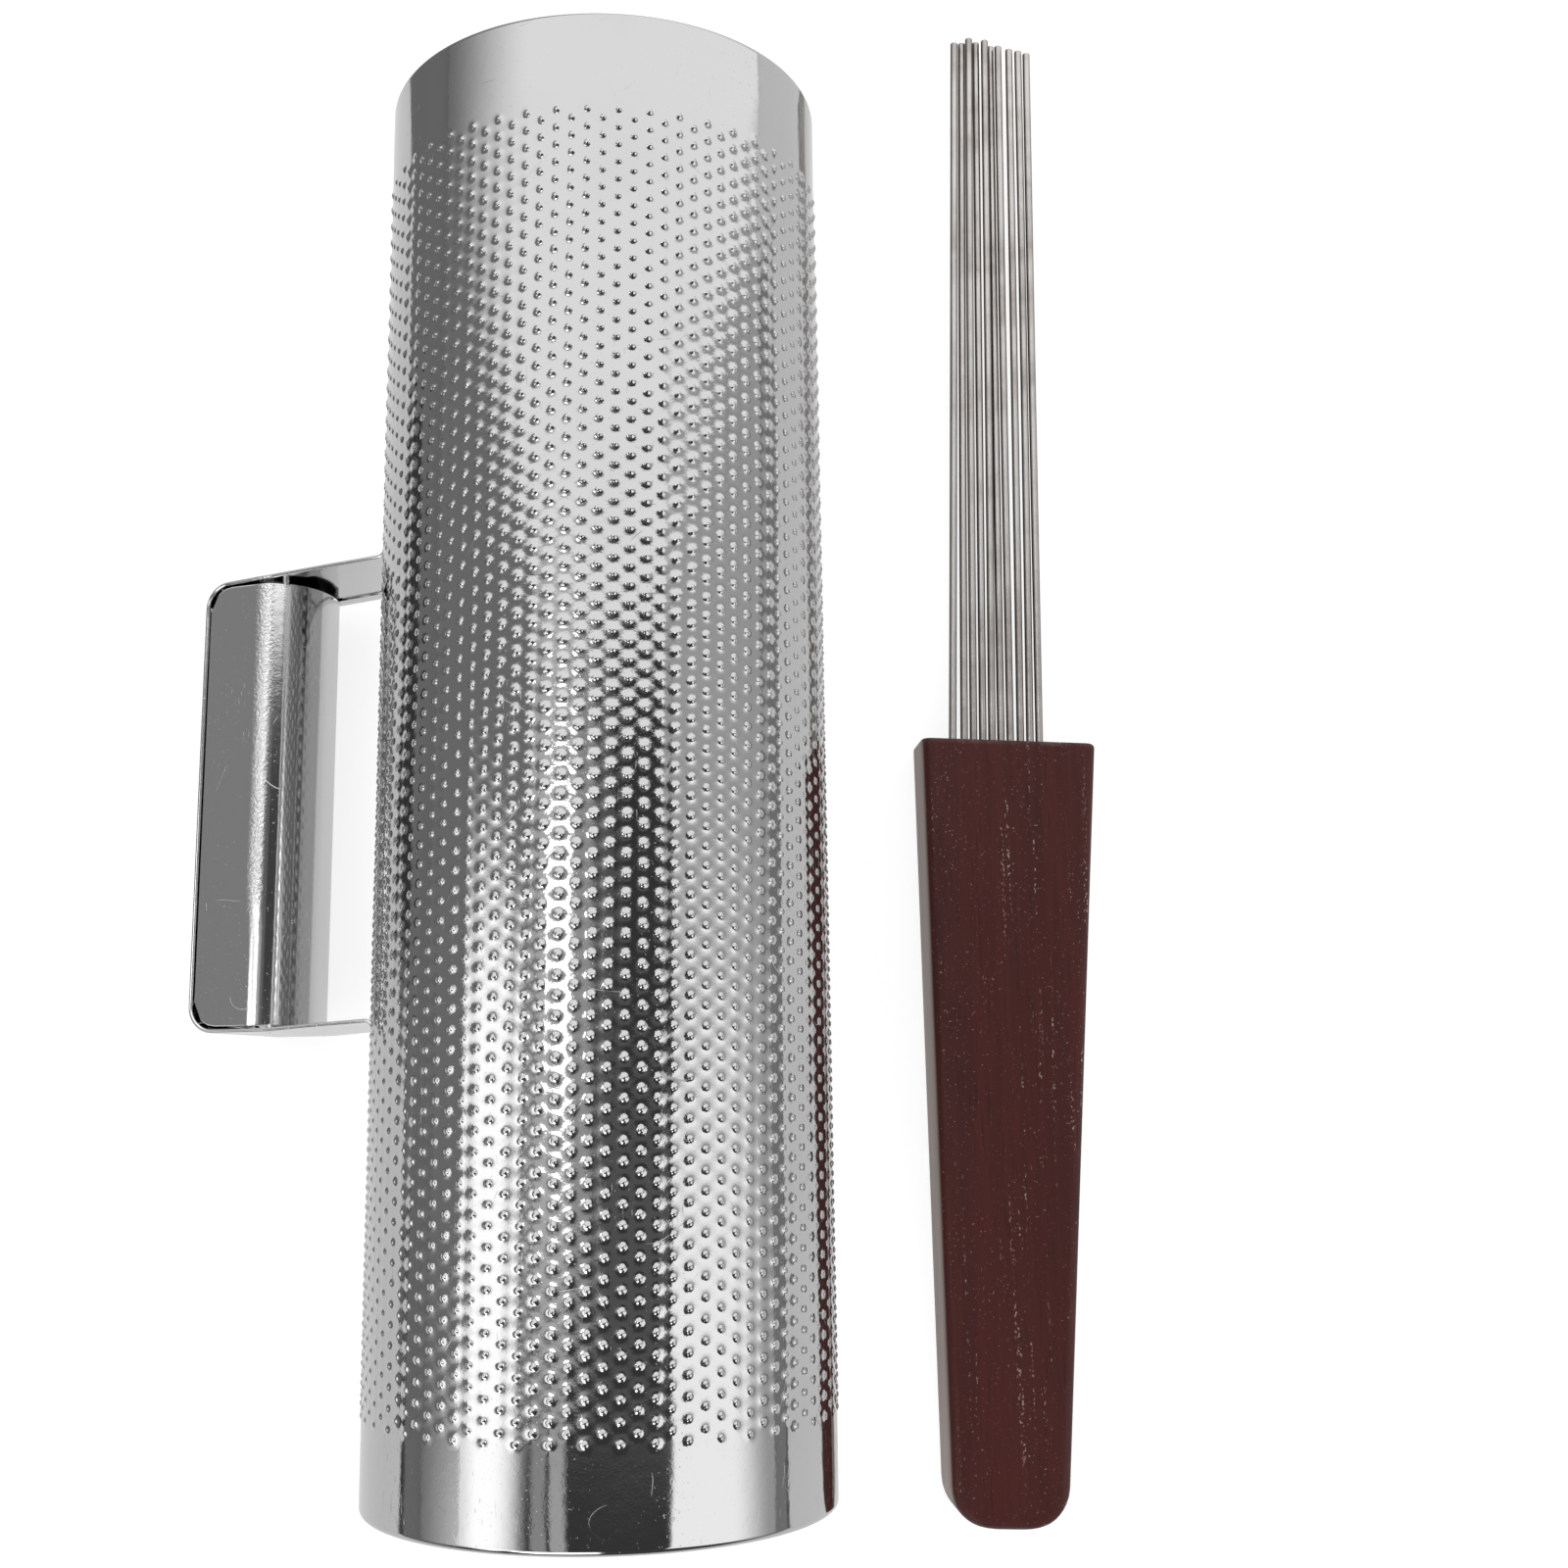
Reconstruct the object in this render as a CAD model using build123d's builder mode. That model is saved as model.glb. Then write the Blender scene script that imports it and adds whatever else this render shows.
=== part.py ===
"""A metal guiro (guira): a bumped steel tube with a welded grip, lying on a table beside its wire scraper.

The frame is the lying pose: +Z up from the table, +Y along the tube, towards the end that the wires of
the scraper point to, +X towards the scraper. The origin is under the middle of the whole set's box.
"""

import os
from math import asin, atan2, cos, degrees, hypot, radians, sin, tan

from build123d import *

# ---------------------------------------------------------------- driving dimensions, millimetres

TUBE_X = -12.35  # tube axis, from the middle of the set
TUBE_Y = -17.4  # middle of the tube's length
TUBE_D = 95.5  # outside diameter of the plain end bands
TUBE_L = 300.0
SHEET = 0.7  # tube sheet
BUMP_H = 0.6  # height of the pressed bumps over the plain bands
RAMP_ANGLE = 45.0  # how steeply the bumped field starts beside each band
BAND_TOP = 20.0  # plain band at the +Y end
BAND_BOTTOM = 17.0  # plain band at the -Y end
RIM_R = 1.3  # outer radius of the rolled-in rims
RIM_LIP = 2.5  # flat lip inside each rim

STRAP_REACH = 92.9  # tube axis to the outer face of the handle's back
STRAP_W = 28.5
STRAP_T = 0.9
STRAP_TOP = 46.4  # strap corner on the +Y side, along the tube from its middle
STRAP_BOTTOM = -55.5
STRAP_TOP_ROOT = 49.0  # where each leg meets the tube: both legs lean a little towards +Y
STRAP_BOTTOM_ROOT = -54.0
LEG_KNEE = 73.0  # the lower leg is square to the tube outside this reach and leans inside it
STRAP_CORNER_R = 6.0
FOOT_L = 14.0  # turned-out foot of each leg, welded to the tube

GRIP_W = 27.1  # grip shell, across the strap
GRIP_T = 0.8
GRIP_BACK = 0.3  # gap from the shell's side edges to the strap's back
GRIP_FLAT = 14.2  # strap's outer face to where the shell's sides begin to curve
GRIP_NOSE = 9.3  # depth of the rounded nose
GRIP_TOP = 45.6
GRIP_BOTTOM = -54.1
GRIP_CORNER_R = 5.4

WELD_D = 1.5  # tack welds between the shell's ends and the strap's legs
WELD_REACH = 73.8
WELD_SINK = 0.35

SCRAPER_X = 82.95  # middle of the handle's mouth
SCRAPER_Y = -5.1
SCRAPER_TURN = 2.0  # the wires lean away from the tube by this angle
WOOD_L = 176.0
WOOD_T = 16.0
WOOD_MOUTH_W = 41.6
WOOD_BUTT_W = 26.0
WOOD_BUTT_R = 9.0
WOOD_EDGE_R = 2.6
WOOD_MOUTH_R = 1.0
SLOT_LEFT = -13.5  # slot in the mouth that holds the wires, across the handle
SLOT_RIGHT = 10.1
SLOT_DEPTH = 15.0
SLOT_T = 3.4

WIRE_D = 1.8
WIRE_SUNK = 14.0  # length held inside the slot
WIRE_Z = WOOD_T / 2
WIRE_TIP_CHAMFER = 0.25
# each wire: across at the mouth, across at the tip, free length, drop of the tip below the row
WIRES = [
    (-12.2, -12.3, 184.6, 0.0),
    (-9.4, -10.2, 185.2, 1.0),
    (-7.15, -8.5, 186.1, 0.0),
    (-4.9, -6.5, 185.7, 1.2),
    (-2.7, -4.4, 185.8, 0.0),
    (-0.5, -2.6, 185.1, 1.6),
    (1.75, -0.9, 184.3, 0.0),
    (4.2, 1.95, 183.6, 0.0),
    (6.5, 4.3, 183.2, 0.0),
    (8.75, 6.45, 182.6, 0.0),
]

# ---------------------------------------------------------------- worked out from them

TUBE_R = TUBE_D / 2
FIELD_R = TUBE_R + BUMP_H  # tips of the bumps: the tube lies on them
AXIS_Z = FIELD_R
# the handle leans down until the strap's lower corner meets the table
HANDLE_TILT = degrees(asin(AXIS_Z / hypot(STRAP_REACH, STRAP_W / 2)) - atan2(STRAP_W / 2, STRAP_REACH))

AXIS_POINT = Vector(TUBE_X, TUBE_Y, AXIS_Z)
REACH_DIR = Vector(-cos(radians(HANDLE_TILT)), 0, -sin(radians(HANDLE_TILT)))
ALONG = Vector(0, 1, 0)

tube_half_plane = Plane(origin=AXIS_POINT, x_dir=(1, 0, 0), z_dir=(0, 0, 1))
handle_side_plane = Plane(origin=AXIS_POINT, x_dir=REACH_DIR, z_dir=REACH_DIR.cross(ALONG))
turn = radians(SCRAPER_TURN)
wood_plane = Plane(origin=(SCRAPER_X, SCRAPER_Y, 0), x_dir=(cos(turn), -sin(turn), 0), z_dir=(0, 0, 1))


def handle_cross_plane(along):
    """Section square to the tube: local x is the reach from the tube's axis, local y is across the strap."""
    return Plane(origin=AXIS_POINT + ALONG * along, x_dir=REACH_DIR, z_dir=ALONG)


os.makedirs("parts", exist_ok=True)

# ---------------------------------------------------------------- the tube

FIELD_LOW = BAND_BOTTOM - TUBE_L / 2
FIELD_HIGH = TUBE_L / 2 - BAND_TOP
RAMP_L = BUMP_H / tan(radians(RAMP_ANGLE))
RAMP_SHIFT = tan(radians(RAMP_ANGLE / 2))  # how far the ramp moves along the tube per unit of inset


def tube_section(inset):
    """Half section of the solid that fills the tube out to its skin, drawn a little inside it by inset."""
    band_r = TUBE_R - inset
    field_r = FIELD_R - inset
    end = TUBE_L / 2 - inset
    low = FIELD_LOW + RAMP_SHIFT * inset
    high = FIELD_HIGH - RAMP_SHIFT * inset
    with BuildSketch(Plane.XY) as section:
        with BuildLine():
            Polyline(
                (0, -end),
                (band_r, -end),
                (band_r, low),
                (field_r, low + RAMP_L),
                (field_r, high - RAMP_L),
                (band_r, high),
                (band_r, end),
                (0, end),
                close=True,
            )
        make_face()
        band_corners = section.vertices().group_by(Axis.X)[1].sort_by(Axis.Y)
        fillet([band_corners[0], band_corners[-1]], RIM_R - inset)
    return section.sketch


with BuildPart() as body_tube:
    with BuildSketch(tube_half_plane):
        add(tube_section(0))
        add(tube_section(SHEET), mode=Mode.SUBTRACT)
        Rectangle(TUBE_R - RIM_R - RIM_LIP, TUBE_L, align=(Align.MIN, Align.CENTER), mode=Mode.SUBTRACT)
    revolve(axis=Axis(AXIS_POINT, ALONG))
body_tube.part.label = "body_tube"
export_step(body_tube.part, "parts/body_tube.step")

# ---------------------------------------------------------------- the handle: strap, grip shell, tack welds

FOOT_R = FIELD_R + STRAP_T

with BuildPart() as handle_strap:
    with BuildSketch(handle_side_plane):
        with BuildSketch(Plane.XY) as loop:
            with BuildLine():
                Polyline(
                    (TUBE_R / 2, STRAP_TOP_ROOT),
                    (FIELD_R, STRAP_TOP_ROOT),
                    (STRAP_REACH, STRAP_TOP),
                    (STRAP_REACH, STRAP_BOTTOM),
                    (LEG_KNEE, STRAP_BOTTOM),
                    (FIELD_R, STRAP_BOTTOM_ROOT),
                    (TUBE_R / 2, STRAP_BOTTOM_ROOT),
                    close=True,
                )
            make_face()
            fillet(loop.vertices().group_by(Axis.X)[-1], STRAP_CORNER_R)
        add(offset(loop.sketch, -STRAP_T, kind=Kind.INTERSECTION, mode=Mode.PRIVATE), mode=Mode.SUBTRACT)
    extrude(amount=STRAP_W / 2, both=True)
    with BuildSketch(handle_cross_plane(-TUBE_L / 2)):
        Circle(FIELD_R)
    extrude(amount=TUBE_L, mode=Mode.SUBTRACT)
    for low, high in (
        (STRAP_TOP_ROOT - STRAP_T, STRAP_TOP_ROOT + FOOT_L),
        (STRAP_BOTTOM_ROOT - FOOT_L, STRAP_BOTTOM_ROOT + STRAP_T),
    ):
        with BuildSketch(handle_cross_plane(low)):
            Circle(FOOT_R)
            Circle(FIELD_R, mode=Mode.SUBTRACT)
            Rectangle(FOOT_R, STRAP_W, align=(Align.MIN, Align.CENTER), mode=Mode.INTERSECT)
        extrude(amount=high - low)
handle_strap.part.label = "handle_strap"
export_step(handle_strap.part, "parts/handle_strap.step")

SHELL_BACK = STRAP_REACH - STRAP_T - GRIP_BACK
NOSE_CENTRE = STRAP_REACH - GRIP_FLAT
GRIP_L = GRIP_TOP - GRIP_BOTTOM
PAST_NOSE = GRIP_FLAT + 2 * GRIP_NOSE  # long enough to reach past the nose from the shell's back

with BuildPart() as grip_shell:
    with BuildSketch(handle_cross_plane(GRIP_BOTTOM)):
        with Locations((NOSE_CENTRE, 0)):
            Ellipse(GRIP_NOSE, GRIP_W / 2)
            Rectangle(GRIP_FLAT, GRIP_W, align=(Align.MIN, Align.CENTER))
            Ellipse(GRIP_NOSE - GRIP_T, GRIP_W / 2 - GRIP_T, mode=Mode.SUBTRACT)
            Rectangle(GRIP_FLAT, GRIP_W - 2 * GRIP_T, align=(Align.MIN, Align.CENTER), mode=Mode.SUBTRACT)
        with Locations((SHELL_BACK, 0)):
            Rectangle(PAST_NOSE, GRIP_W, align=(Align.MAX, Align.CENTER), mode=Mode.INTERSECT)
    extrude(amount=GRIP_L)
    with BuildSketch(handle_side_plane) as side_outline:
        with Locations((SHELL_BACK, GRIP_BOTTOM)):
            Rectangle(PAST_NOSE, GRIP_L, align=(Align.MAX, Align.MIN))
        fillet(side_outline.vertices().sort_by(Axis.X)[-2:], GRIP_CORNER_R)
    extrude(amount=GRIP_W, both=True, mode=Mode.INTERSECT)
grip_shell.part.label = "grip_shell"
export_step(grip_shell.part, "parts/grip_shell.step")

weld_across = GRIP_W / 2 * (1 - ((NOSE_CENTRE - WELD_REACH) / GRIP_NOSE) ** 2) ** 0.5 - GRIP_T / 2
leg_share = (STRAP_REACH - WELD_REACH) / (STRAP_REACH - FIELD_R)
top_leg_inside = STRAP_TOP + (STRAP_TOP_ROOT - STRAP_TOP) * leg_share - STRAP_T
bottom_leg_inside = STRAP_BOTTOM + STRAP_T

with BuildPart() as tack_welds:
    for low, high in (
        (GRIP_TOP - WELD_SINK, top_leg_inside + WELD_SINK),
        (bottom_leg_inside - WELD_SINK, GRIP_BOTTOM + WELD_SINK),
    ):
        with BuildSketch(handle_cross_plane(low)):
            with Locations((WELD_REACH, weld_across), (WELD_REACH, -weld_across)):
                Circle(WELD_D / 2)
        extrude(amount=high - low)
tack_welds.part.label = "tack_welds"
export_step(tack_welds.part, "parts/tack_welds.step")

# ---------------------------------------------------------------- the scraper: wooden handle and wires

with BuildPart() as scraper_handle:
    with BuildSketch(wood_plane) as wood_outline:
        with BuildLine():
            Polyline(
                (-WOOD_MOUTH_W / 2, 0),
                (WOOD_MOUTH_W / 2, 0),
                (WOOD_BUTT_W / 2, -WOOD_L),
                (-WOOD_BUTT_W / 2, -WOOD_L),
                close=True,
            )
        make_face()
        fillet(wood_outline.vertices().sort_by(Axis.Y)[:2], WOOD_BUTT_R)
    extrude(amount=WOOD_T)
    mouth_face = scraper_handle.faces().sort_by(Axis.Y)[-1]
    broad_faces = scraper_handle.faces().filter_by(Axis.Z)
    fillet(broad_faces.edges() - mouth_face.edges(), WOOD_EDGE_R)
    fillet(scraper_handle.faces().sort_by(Axis.Y)[-1].edges(), WOOD_MOUTH_R)
    slot_mid = (SLOT_LEFT + SLOT_RIGHT) / 2
    with BuildSketch(wood_plane.offset((WOOD_T - SLOT_T) / 2)):
        with Locations((slot_mid, 0)):
            Rectangle(SLOT_RIGHT - SLOT_LEFT, 2 * SLOT_DEPTH)
    extrude(amount=SLOT_T, mode=Mode.SUBTRACT)
scraper_handle.part.label = "scraper_handle"
export_step(scraper_handle.part, "parts/scraper_handle.step")


def wire(mouth, tip, free, drop):
    """One straight wire, from inside the slot to its tip."""
    start = wood_plane.from_local_coords((mouth, 0, WIRE_Z))
    end = wood_plane.from_local_coords((tip, free, WIRE_Z - drop))
    direction = (Vector(end) - Vector(start)).normalized()
    length = (Vector(end) - Vector(start)).length
    root = Vector(start) - direction * WIRE_SUNK
    with BuildPart() as rod:
        with BuildSketch(Plane(origin=root, z_dir=direction)):
            Circle(WIRE_D / 2)
        extrude(amount=length + WIRE_SUNK)
        chamfer(rod.edges().sort_by(Axis.Y)[-1], WIRE_TIP_CHAMFER)
    return rod.part


for number, (mouth, tip, free, drop) in enumerate(WIRES, 1):
    rod = wire(mouth, tip, free, drop)
    rod.label = f"wire_{number:02d}"
    export_step(rod, f"parts/{rod.label}.step")
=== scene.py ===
"""Looks of the guiro set: a bumped steel tube with a welded grip, beside its wire scraper.

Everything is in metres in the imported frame: +Z up from the table, +Y along the tube, towards the end that
the scraper's wires point to, +X towards the scraper.
"""

from math import asin, atan2, cos, hypot, pi, radians, sin, sqrt

import bpy
import numpy as np
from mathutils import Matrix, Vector


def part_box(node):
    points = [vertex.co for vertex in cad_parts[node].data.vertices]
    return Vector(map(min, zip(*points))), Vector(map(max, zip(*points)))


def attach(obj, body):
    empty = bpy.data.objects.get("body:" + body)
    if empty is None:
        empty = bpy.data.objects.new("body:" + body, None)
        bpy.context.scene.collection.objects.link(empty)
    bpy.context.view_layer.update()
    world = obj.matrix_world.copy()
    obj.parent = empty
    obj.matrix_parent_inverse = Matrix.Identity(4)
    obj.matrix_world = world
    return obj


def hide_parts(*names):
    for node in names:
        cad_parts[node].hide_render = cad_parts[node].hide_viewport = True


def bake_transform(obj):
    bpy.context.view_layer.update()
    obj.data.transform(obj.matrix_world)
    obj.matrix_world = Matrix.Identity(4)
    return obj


MM = 0.001

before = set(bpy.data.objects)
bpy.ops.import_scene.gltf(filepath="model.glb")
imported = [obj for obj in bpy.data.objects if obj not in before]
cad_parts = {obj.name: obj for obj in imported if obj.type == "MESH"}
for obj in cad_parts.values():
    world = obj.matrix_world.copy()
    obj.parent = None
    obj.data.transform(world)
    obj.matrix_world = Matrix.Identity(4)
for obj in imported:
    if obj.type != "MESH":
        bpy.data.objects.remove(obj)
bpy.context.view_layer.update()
random = np.random.default_rng(7)

# ---------------------------------------------------------------- sizes, and places read from the frame

tube_low, tube_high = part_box("body_tube")
AXIS_X = (tube_low.x + tube_high.x) / 2
AXIS_Z = (tube_low.z + tube_high.z) / 2
MID_Y = (tube_low.y + tube_high.y) / 2
TUBE_L = tube_high.y - tube_low.y
FIELD_R = (tube_high.x - tube_low.x) / 2  # out to the frame's bumped band
BUMP_H = 0.6 * MM  # how far that band stands out: the bumps here are lower
TUBE_R = FIELD_R - BUMP_H
SHEET = 0.7 * MM
RIM_R = 1.3 * MM  # the rim's bend, and the flat lip inside it
RIM_LIP = 2.5 * MM

COLUMNS = 94  # columns of bumps round the tube: every second one holds a bump on a given ring
RINGS = 138
RING_STEP = 1.892 * MM
FIRST_RING = 128.1 * MM  # from the middle of the tube
COLUMN_TURN = radians(4)  # the first column faces this far from straight up, towards the scraper
COLUMN_DRIFT = 2.6 * MM  # the columns wind round the tube by this much over the field
DRIFT_START = 0.1  # the share of the field where a column lies at its own turn
TIP_BALL_R = 0.93 * MM  # a bump's tip is a piece of a ball
TIP_R = 0.53 * MM  # out to here, where it is steepest
# from there its slope falls off: distances from its middle and the slopes at them
FLANK = ((0.53 * MM, 0.69), (0.78 * MM, 0.24), (1.2 * MM, 0.075), (1.87 * MM, 0.0))
BUMP_STEPS = (0.26 * MM, 0.48 * MM, 0.62 * MM, 0.82 * MM, 1.1 * MM, 1.5 * MM)  # mesh rings round a bump
DENT_STEPS = (0.8 * MM,)  # and inside
BUMP_SPREAD = 0.02  # how much the bumps' heights differ
BUMP_SHIFT = 0.03 * MM  # and how far they lie from their places
WAVE_H = 0.02 * MM  # shallow waves of the sheet

# the strap and the grip: reaches are from the tube's axis, and heights along the tube from its middle
STRAP_REACH = 92.9 * MM
STRAP_W = 28.5 * MM
STRAP_T = 0.9 * MM
STRAP_TOP = 46.4 * MM
STRAP_BOTTOM = -55.5 * MM
STRAP_TOP_ROOT = 49.0 * MM  # where the legs meet the tube
STRAP_BOTTOM_ROOT = -54.0 * MM
LEG_KNEE = 73.0 * MM  # the lower leg runs straight from the corner to here, and then leans
LEG_KNEE_R = 25.0 * MM
STRAP_CORNER_R = 6.0 * MM
FOOT_L = 14.0 * MM
FOOT_BEND_R = 1.9 * MM
FOOT_CURVE = 12.0 * MM  # the strap starts to curve with the tube this far from its foot
FOOT_BLEND = 10.0 * MM
HEM_W = 4.0 * MM  # folded side edges of the strap, on its inside
HEM_STEP = 0.4 * MM
HEM_SLOPE = 0.22 * MM

GRIP_W = 27.1 * MM
GRIP_T = 0.8 * MM
GRIP_BACK = 0.3 * MM  # gap to the strap's back
GRIP_FLAT = 14.2 * MM
GRIP_NOSE = 9.3 * MM  # past the flat, half an ellipse
GRIP_TOP = 45.6 * MM
GRIP_BOTTOM = -54.1 * MM
GRIP_CORNER_R = 5.4 * MM

WELD_REACH = 73.8 * MM
WELD_R = 0.72 * MM
WELD_SUNK = 0.65 * MM  # each end of a bead runs on into the steel

WOOD_L = 176.0 * MM
WOOD_T = 16.0 * MM
WOOD_MOUTH_W = 41.6 * MM
WOOD_BUTT_W = 26.0 * MM
WOOD_BUTT_R = 9.0 * MM
WOOD_EDGE_R = 2.6 * MM
WOOD_MOUTH_R = 1.0 * MM
SLOT_LEFT = -13.5 * MM
SLOT_RIGHT = 10.1 * MM
SLOT_MIDDLE = (SLOT_LEFT + SLOT_RIGHT) / 2
SLOT_DEPTH = 15.0 * MM
SLOT_T = 3.4 * MM
SLOT_CORNER_R = 0.5 * MM
SCRAPER_TURN = radians(2)

WIRE_R = 0.93 * MM
WIRE_SUNK = 14.0 * MM
WIRE_TIP_R = 0.3 * MM  # how far the edges of its ends are softened
WIRE_ROOT_R = 0.2 * MM
WIRE_BOW = 0.16 * MM  # most that a wire is bowed sideways, and up or down
WIRE_LIFT = 0.1 * MM
FLEX_START = 1.0 * MM  # two distances from the mouth: points at them are worked out below, and nothing uses them
FLEX_END = 60.0 * MM

# the handle leans down until the strap's lower corner meets the table
HANDLE_TILT = asin(AXIS_Z / hypot(STRAP_REACH, STRAP_W / 2)) - atan2(STRAP_W / 2, STRAP_REACH)
AXIS_MIDDLE = Vector((AXIS_X, MID_Y, AXIS_Z))

# ---------------------------------------------------------------- mesh helpers


def mesh_piece(name, points, faces, normals=None):
    """A smooth mesh object from points and faces: a list of faces, or of arrays with faces of one kind."""
    mesh = bpy.data.meshes.new(name)
    if isinstance(faces[0], np.ndarray):
        corners = np.concatenate([kind.ravel() for kind in faces]).astype(np.int32)
        sizes = np.concatenate([np.full(len(kind), kind.shape[1], np.int32) for kind in faces])
        mesh.vertices.add(len(points))
        mesh.vertices.foreach_set("co", np.asarray(points, np.float32).ravel())
        mesh.loops.add(len(corners))
        mesh.loops.foreach_set("vertex_index", corners)
        mesh.polygons.add(len(sizes))
        mesh.polygons.foreach_set("loop_start", np.cumsum(sizes) - sizes)
        mesh.update(calc_edges=True)
    else:
        mesh.from_pydata([tuple(p) for p in points], [], faces)
        mesh.update()
    mesh.shade_smooth()
    if normals is not None:
        mesh.normals_split_custom_set_from_vertices(normals)
    piece = bpy.data.objects.new(name, mesh)
    bpy.context.scene.collection.objects.link(piece)
    return piece


def loft(name, loops, sharp=radians(35)):
    """A closed body through loops of points, stations x points x 3, with flat faces at both ends."""
    stations, count = loops.shape[:2]
    here = np.arange(stations - 1)[:, None] * count + np.arange(count)[None, :]
    right = np.arange(stations - 1)[:, None] * count + (np.arange(count)[None, :] + 1) % count
    sides = np.stack([here, right, right + count, here + count], -1).reshape(-1, 4)
    faces = [tuple(int(i) for i in face) for face in sides]
    faces.append(tuple(range(count))[::-1])
    faces.append(tuple(range((stations - 1) * count, stations * count)))
    piece = mesh_piece(name, loops.reshape(-1, 3), faces)
    outward(piece)
    if sharp is not None:
        piece.data.set_sharp_from_angle(angle=sharp)
    return piece


def outward(piece):
    """Turns the faces of a closed mesh out, going by the sign of its volume."""
    mesh = piece.data
    mesh.calc_loop_triangles()
    corners = np.empty(len(mesh.loop_triangles) * 3, np.int32)
    mesh.loop_triangles.foreach_get("vertices", corners)
    places = np.empty(len(mesh.vertices) * 3)
    mesh.vertices.foreach_get("co", places)
    a, b, c = places.reshape(-1, 3)[corners.reshape(-1, 3)].transpose(1, 0, 2)
    if np.einsum("ij,ij->i", a, np.cross(b, c)).sum() < 0:
        mesh.flip_normals()


def rounded_rectangle(half_w, half_h, radius, side=6, corner=6):
    """Points of a rounded rectangle, the same number whatever its size."""
    radius = min(radius, half_w, half_h)
    signs = ((1, 1), (-1, 1), (-1, -1), (1, -1))

    def on_corner(quarter, share):
        (sx, sy), angle = signs[quarter], (quarter + share) * pi / 2
        x = sx * (half_w - radius) + radius * cos(angle)
        y = sy * (half_h - radius) + radius * sin(angle)
        return np.array([x, y])

    points = []
    for quarter in range(4):
        points += [on_corner(quarter, step / corner) for step in range(corner + 1)]
        start, end = points[-1], on_corner((quarter + 1) % 4, 0)
        points += [start + (end - start) * (step / side) for step in range(1, side)]
    return np.array(points)


def rounded_path(corners, radii, spacing, arc_steps=8):
    """A 2-D path through corners with arcs at them: its points and its left-hand normals."""
    corners = [np.array(c, float) for c in corners]
    points, normals = [], []

    def straight(a, b):
        direction = (b - a) / np.linalg.norm(b - a)
        count = max(2, int(np.linalg.norm(b - a) / spacing))
        for t in np.linspace(0, 1, count + 1):
            points.append(a + (b - a) * t)
            normals.append(np.array([-direction[1], direction[0]]))

    start = corners[0]
    for before, corner, after, radius in zip(corners, corners[1:], corners[2:], radii):
        into = (corner - before) / np.linalg.norm(corner - before)
        out = (after - corner) / np.linalg.norm(after - corner)
        bend = np.arccos(np.clip(into @ out, -1, 1))
        setback = radius * np.tan(bend / 2)
        straight(start, corner - into * setback)
        side = 1 if into[0] * out[1] - into[1] * out[0] > 0 else -1
        left = np.array([-into[1], into[0]])
        centre = corner - into * setback + left * side * radius
        for step in range(1, arc_steps):
            angle = side * bend * step / arc_steps
            c, s = cos(angle), sin(angle)
            turned = np.array([left[0] * c - left[1] * s, left[0] * s + left[1] * c])
            points.append(centre - turned * side * radius)
            normals.append(turned)
        start = corner + out * setback
    straight(start, corners[-1])
    return np.array(points), np.array(normals)


# ---------------------------------------------------------------- the tube

# Each bump has a six-sided cell of the sheet. The mesh of a cell is rings of twelve points round the bump,
# and its outline: these are the outline's points, in sixths of a column and half rings from the bump.
CELL = np.array(
    [(4, 0), (3, 1), (2, 2), (0, 2), (-2, 2), (-3, 1), (-4, 0), (-3, -1), (-2, -2), (0, -2), (2, -2), (3, -1)]
)
CELL_POINTS = len(CELL)
# the same outline's columns, as sixths in every two columns, where the field meets a plain band
EDGE_SIXTHS = np.array([-2, 0, 2, 3, 4, 6, 8, 9])
EDGE_COLUMNS = ((np.arange(0, COLUMNS, 2) * 6)[:, None] + EDGE_SIXTHS).ravel()
COLUMN_W = 2 * pi * TUBE_R / COLUMNS

# shallow waves of the rolled sheet: height, length along the tube, turns round it and phase
SHEET_WAVES = [
    (
        random.uniform(0.4, 1.0) * WAVE_H,
        random.choice((-1, 1)) * random.uniform(35, 110) * MM,
        int(random.integers(2, 13)),
        random.uniform(0, 2 * pi),
    )
    for _ in range(7)
]


def bump_profile(r):
    """Height of one bump at distance r from its middle, and its slope outwards: a ball tip, and a flank that
    flattens out."""
    height = np.zeros_like(r)
    slope = np.zeros_like(r)
    for (r0, s0), (r1, s1) in zip(FLANK, FLANK[1:]):
        here = np.clip(r, r0, r1)
        slope_here = s0 + (s1 - s0) * (here - r0) / (r1 - r0)
        height += (slope_here + s1) / 2 * (r1 - here)
        slope = np.where((r >= r0) & (r < r1), -slope_here, slope)
    on_tip = np.minimum(r, TIP_R)
    ball = np.sqrt(TIP_BALL_R**2 - on_tip**2)
    height += ball - sqrt(TIP_BALL_R**2 - TIP_R**2)
    return height, np.where(r < TIP_R, -on_tip / ball, slope)


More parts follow.
